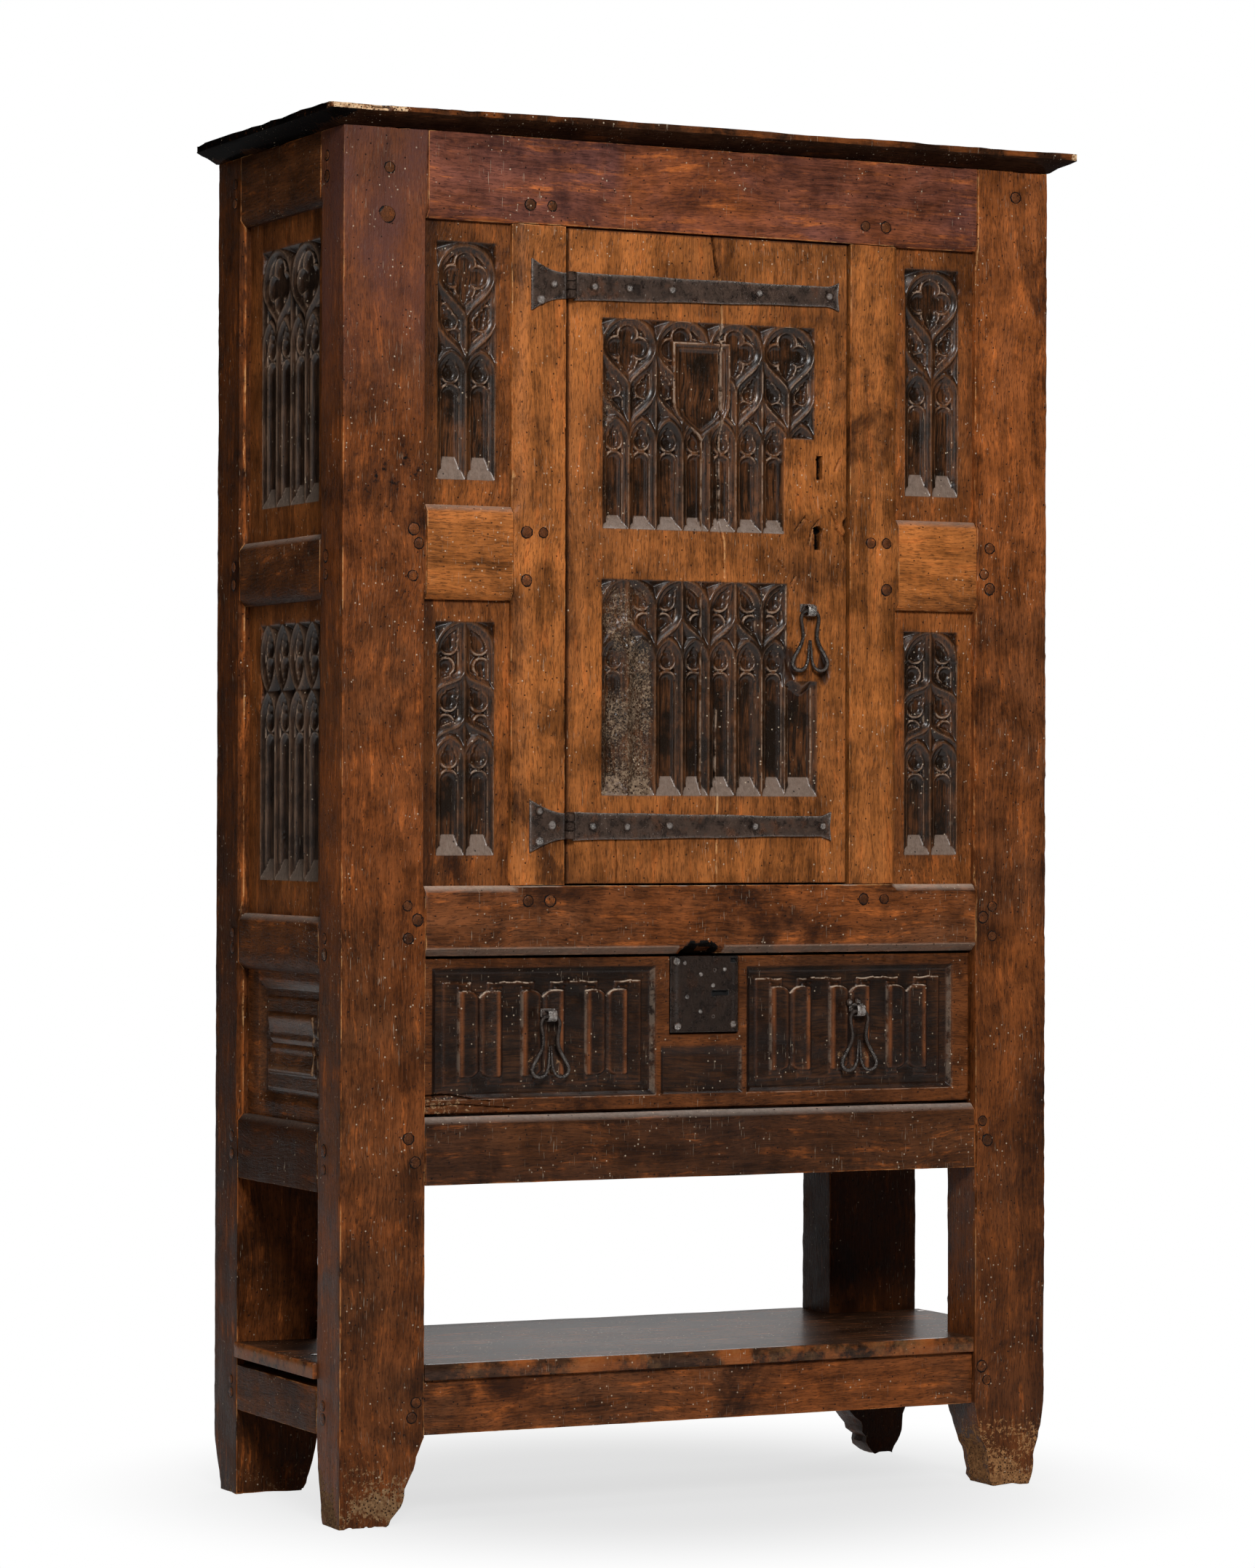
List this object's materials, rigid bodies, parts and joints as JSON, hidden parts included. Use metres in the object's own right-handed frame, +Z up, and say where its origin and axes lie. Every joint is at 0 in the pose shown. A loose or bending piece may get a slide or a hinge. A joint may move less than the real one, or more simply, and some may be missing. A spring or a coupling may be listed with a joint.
{
  "type": "court cupboard",
  "caption": "Late Gothic oak court cupboard on post legs, with a carved door between carved lights, a drawer below and an open pot shelf.",
  "frame": {"origin": "centre of the bounding box on the floor that the feet stand on", "axes": "+Z up, -Y out of the front with the door and the drawer, +X to the right as seen from the front"},
  "size_m": [0.947, 0.412, 1.556],
  "materials": {
    "oak_frame": "worn wax polish",
    "oak_panel": "dark worn polish on carving",
    "oak_door": "worn wax polish",
    "oak_drawer_front": "worn wax polish",
    "oak_plain": "dry, unpolished",
    "iron": "forged, dark, worn bright on edges"
  },
  "bodies": {
    "frame": {"back_boards": "oak_plain", "bottom_rail_rear": "oak_frame", "cross_rails": "oak_frame", "cupboard_floor": "oak_plain", "drawer_rail_front": "oak_frame", "drawer_runners": "oak_plain", "frame_nails": "iron", "frame_pegs": "oak_frame", "front_panel_lower_left": "oak_panel", "front_panel_lower_right": "oak_panel", "front_panel_upper_left": "oak_panel", "front_panel_upper_right": "oak_panel", "hinge_pins": "iron", "hinge_plates": "iron", "middle_rail_front": "oak_frame", "muntin_left": "oak_frame", "muntin_right": "oak_frame", "post_front_left": "oak_frame", "post_front_right": "oak_frame", "post_rear_left": "oak_frame", "post_rear_right": "oak_frame", "shelf_board": "oak_frame", "side_bottom_rail_left": "oak_frame", "side_bottom_rail_right": "oak_frame", "side_cross_rail_left": "oak_frame", "side_cross_rail_right": "oak_frame", "side_middle_rail_left": "oak_frame", "side_middle_rail_right": "oak_frame", "side_panel_drawer_left": "oak_panel", "side_panel_drawer_right": "oak_panel", "side_panel_lower_left": "oak_panel", "side_panel_lower_right": "oak_panel", "side_panel_upper_left": "oak_panel", "side_panel_upper_right": "oak_panel", "side_stretchers": "oak_frame", "side_top_rail_left": "oak_frame", "side_top_rail_right": "oak_frame", "stretcher_front": "oak_frame", "stretcher_rear": "oak_frame", "top_board": "oak_frame", "top_rail_front": "oak_frame", "top_rail_rear": "oak_frame"},
    "door": {"door_plank_left": "oak_door", "door_plank_right": "oak_door", "door_strap_upper": "iron", "door_strap_lower": "iron", "strap_nails": "iron", "door_lock_case": "iron", "door_handle_staple": "iron"},
    "drawer": {"drawer_front": "oak_drawer_front", "drawer_sides": "oak_plain", "drawer_back": "oak_plain", "drawer_bottom": "oak_plain", "drawer_lock_plate": "iron", "drawer_staples": "iron"},
    "door_bolt": {"door_lock_bolt": "iron"},
    "door_handle": {"door_handle": "iron"},
    "drawer_bolt": {"drawer_lock_bolt": "iron"},
    "drawer_handle_left": {"drawer_handle_left": "iron"},
    "drawer_handle_right": {"drawer_handle_right": "iron"}
  },
  "joints": [
    {"name": "door_hinge", "type": "hinge", "parent": "frame", "child": "door", "pos_m": [-0.174, -0.1853, 1.07], "axis": [0, 0, -1], "range_deg": [0, 165]},
    {"name": "door_bolt_slide", "type": "slide", "parent": "door", "child": "door_bolt", "axis": [1, 0, 0], "range_m": [0, 0.011]},
    {"name": "door_handle_swing", "type": "hinge", "parent": "door", "child": "door_handle", "pos_m": [0.128, -0.1869, 1.014], "axis": [-1, 0, 0], "range_deg": [0, 90]},
    {"name": "drawer_slide", "type": "slide", "parent": "frame", "child": "drawer", "axis": [0, -1, 0], "range_m": [0, 0.22]},
    {"name": "drawer_bolt_slide", "type": "slide", "parent": "drawer", "child": "drawer_bolt", "axis": [0, 0, 1], "range_m": [0, 0.011]},
    {"name": "drawer_handle_left_swing", "type": "hinge", "parent": "drawer", "child": "drawer_handle_left", "pos_m": [-0.1925, -0.1759, 0.556], "axis": [-1, 0, 0], "range_deg": [0, 90]},
    {"name": "drawer_handle_right_swing", "type": "hinge", "parent": "drawer", "child": "drawer_handle_right", "pos_m": [0.1995, -0.1759, 0.556], "axis": [-1, 0, 0], "range_deg": [0, 90]}
  ]
}
